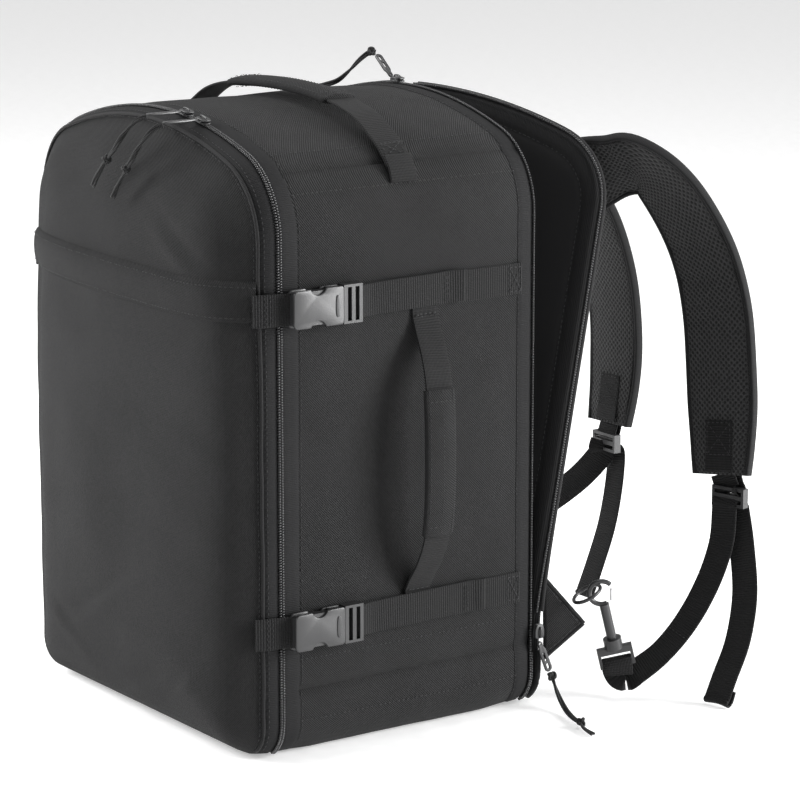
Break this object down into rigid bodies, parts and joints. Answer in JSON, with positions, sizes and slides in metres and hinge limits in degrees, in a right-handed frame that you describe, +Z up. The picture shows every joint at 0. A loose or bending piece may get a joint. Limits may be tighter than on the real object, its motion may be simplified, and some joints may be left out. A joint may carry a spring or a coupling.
{
  "type": "travel backpack",
  "caption": "Soft clamshell travel backpack with a zipped front lid, side compression straps, a fold-open laptop flap and padded shoulder straps.",
  "frame": {"origin": "centre of the flat base, between the front and rear zips", "axes": "+Z up, -Y towards the front lid, +X towards the side with the handle"},
  "size_m": [0.4609, 0.5458, 0.5125],
  "materials": {
    "shell_fabric": "matte",
    "webbing": "matte",
    "zip_tape": "matte",
    "air_mesh": "matte",
    "lining": "matte",
    "stiffener": "satin",
    "black_plastic": "satin",
    "slider_metal": "satin",
    "gate_steel": "matte",
    "cord": "matte"
  },
  "bodies": {
    "root": {"near_side_panel": "shell_fabric", "far_side_panel": "shell_fabric", "top_panel": "shell_fabric", "base_panel": "shell_fabric", "divider_panel": "lining", "base_board": "stiffener", "frame_sheet": "stiffener", "front_zip_body_side": "zip_tape", "rear_zip_body_side": "zip_tape", "back_panel": "air_mesh", "near_compression_webbing": "webbing", "far_compression_webbing": "webbing", "side_handle_webbing": "webbing", "side_handle_grip": "shell_fabric", "top_handle_webbing": "webbing", "top_handle_grip": "shell_fabric", "far_wing": "shell_fabric"},
    "front_lid": {"lid_gusset": "shell_fabric", "lid_panel": "shell_fabric", "lid_band": "shell_fabric", "front_zip_lid_side": "zip_tape", "lid_webbing_stubs": "webbing", "near_upper_socket": "black_plastic", "near_lower_socket": "black_plastic", "far_upper_socket": "black_plastic", "far_lower_socket": "black_plastic"},
    "near_upper_plug": {"near_upper_plug": "black_plastic", "near_upper_tail": "webbing"},
    "near_lower_plug": {"near_lower_plug": "black_plastic", "near_lower_tail": "webbing"},
    "far_upper_plug": {"far_upper_plug": "black_plastic", "far_upper_tail": "webbing"},
    "far_lower_plug": {"far_lower_plug": "black_plastic", "far_lower_tail": "webbing"},
    "laptop_flap": {"laptop_flap": "shell_fabric", "rear_zip_flap_side": "zip_tape", "near_wing": "shell_fabric", "near_ring": "black_plastic", "near_strap_stub": "webbing"},
    "near_strap": {"near_strap_pad": "air_mesh", "near_ladder_lock": "black_plastic", "near_strap_webbing": "webbing"},
    "near_hook": {"near_hook": "black_plastic"},
    "near_hook_gate": {"near_hook_gate": "gate_steel"},
    "far_strap": {"far_strap_pad": "air_mesh", "far_ladder_lock": "black_plastic", "far_strap_webbing": "webbing", "far_hook": "black_plastic"},
    "front_slider_a": {"front_slider_a": "slider_metal"},
    "front_slider_b": {"front_slider_b": "slider_metal"},
    "rear_slider_upper": {"rear_slider_upper": "slider_metal"},
    "rear_slider_lower": {"rear_slider_lower": "slider_metal"},
    "front_pull_a": {"front_pull_a": "slider_metal", "front_cord_a": "cord"},
    "front_pull_b": {"front_pull_b": "slider_metal", "front_cord_b": "cord"},
    "rear_pull_upper": {"rear_pull_upper": "slider_metal", "rear_cord_upper": "cord"},
    "rear_pull_lower": {"rear_pull_lower": "slider_metal", "rear_cord_lower": "cord"}
  },
  "joints": [
    {"name": "front_lid_hinge", "type": "hinge", "parent": "root", "child": "front_lid", "pos_m": [0, -0.1203, 0], "axis": [1, 0, 0], "range_deg": [0, 45]},
    {"name": "laptop_flap_fold", "type": "hinge", "parent": "root", "child": "laptop_flap", "pos_m": [0.165, 0.1275, 0.062], "axis": [-0.3986, 0, 0.9171], "range_deg": [-37, 8]},
    {"name": "near_strap_swing", "type": "hinge", "parent": "laptop_flap", "child": "near_strap", "pos_m": [0.063, 0.19, 0.438], "axis": [0.3371, -0.0408, -0.9406], "range_deg": [-8, 2]},
    {"name": "far_strap_swing", "type": "hinge", "parent": "root", "child": "far_strap", "pos_m": [-0.06, 0.145, 0.436], "axis": [-0.3452, 0.0815, -0.935], "range_deg": [-14, 14]},
    {"name": "near_hook_swivel", "type": "hinge", "parent": "near_strap", "child": "near_hook", "pos_m": [0.187, 0.175, 0.092], "axis": [-0.0183, -0.262, 0.9649], "range_deg": [-20, 20]},
    {"name": "near_hook_gate_press", "type": "hinge", "parent": "near_hook", "child": "near_hook_gate", "pos_m": [0.19082, 0.18219, 0.08553], "axis": [-0.8195, 0.5567, 0.1356], "range_deg": [-22, 0], "stiffness_Nm_per_rad": 0.05},
    {"name": "near_upper_buckle_release", "type": "slide", "parent": "root", "child": "near_upper_plug", "axis": [0, 1, 0], "range_m": [0, 0.036]},
    {"name": "near_lower_buckle_release", "type": "slide", "parent": "root", "child": "near_lower_plug", "axis": [0, 1, 0], "range_m": [0, 0.036]},
    {"name": "far_upper_buckle_release", "type": "slide", "parent": "root", "child": "far_upper_plug", "axis": [0, 1, 0], "range_m": [0, 0.036]},
    {"name": "far_lower_buckle_release", "type": "slide", "parent": "root", "child": "far_lower_plug", "axis": [0, 1, 0], "range_m": [0, 0.036]},
    {"name": "front_slider_a_travel", "type": "slide", "parent": "front_lid", "child": "front_slider_a", "axis": [-0.9943, 0, 0.1063], "range_m": [0, 0.045]},
    {"name": "front_slider_b_travel", "type": "slide", "parent": "front_lid", "child": "front_slider_b", "axis": [0.9851, 0, -0.1719], "range_m": [0, 0.03]},
    {"name": "rear_slider_upper_travel", "type": "slide", "parent": "root", "child": "rear_slider_upper", "axis": [-1, 0, 0], "range_m": [0, 0.04]},
    {"name": "rear_slider_lower_travel", "type": "slide", "parent": "root", "child": "rear_slider_lower", "axis": [0, 0, 1], "range_m": [0, 0.15]},
    {"name": "front_pull_a_lift", "type": "hinge", "parent": "front_slider_a", "child": "front_pull_a", "pos_m": [0.038, -0.1255, 0.48997], "axis": [1, 0, 0], "range_deg": [-60, 0]},
    {"name": "front_pull_b_lift", "type": "hinge", "parent": "front_slider_b", "child": "front_pull_b", "pos_m": [0.062, -0.1255, 0.48659], "axis": [1, 0, 0], "range_deg": [-60, 0]},
    {"name": "rear_pull_upper_lift", "type": "hinge", "parent": "rear_slider_upper", "child": "rear_pull_upper", "pos_m": [-0.0295, 0.12, 0.4922], "axis": [0, 1, 0], "range_deg": [0, 60]},
    {"name": "rear_pull_lower_lift", "type": "hinge", "parent": "rear_slider_lower", "child": "rear_pull_lower", "pos_m": [0.172, 0.124, 0.0555], "axis": [0, 1, 0], "range_deg": [-60, 0]}
  ]
}
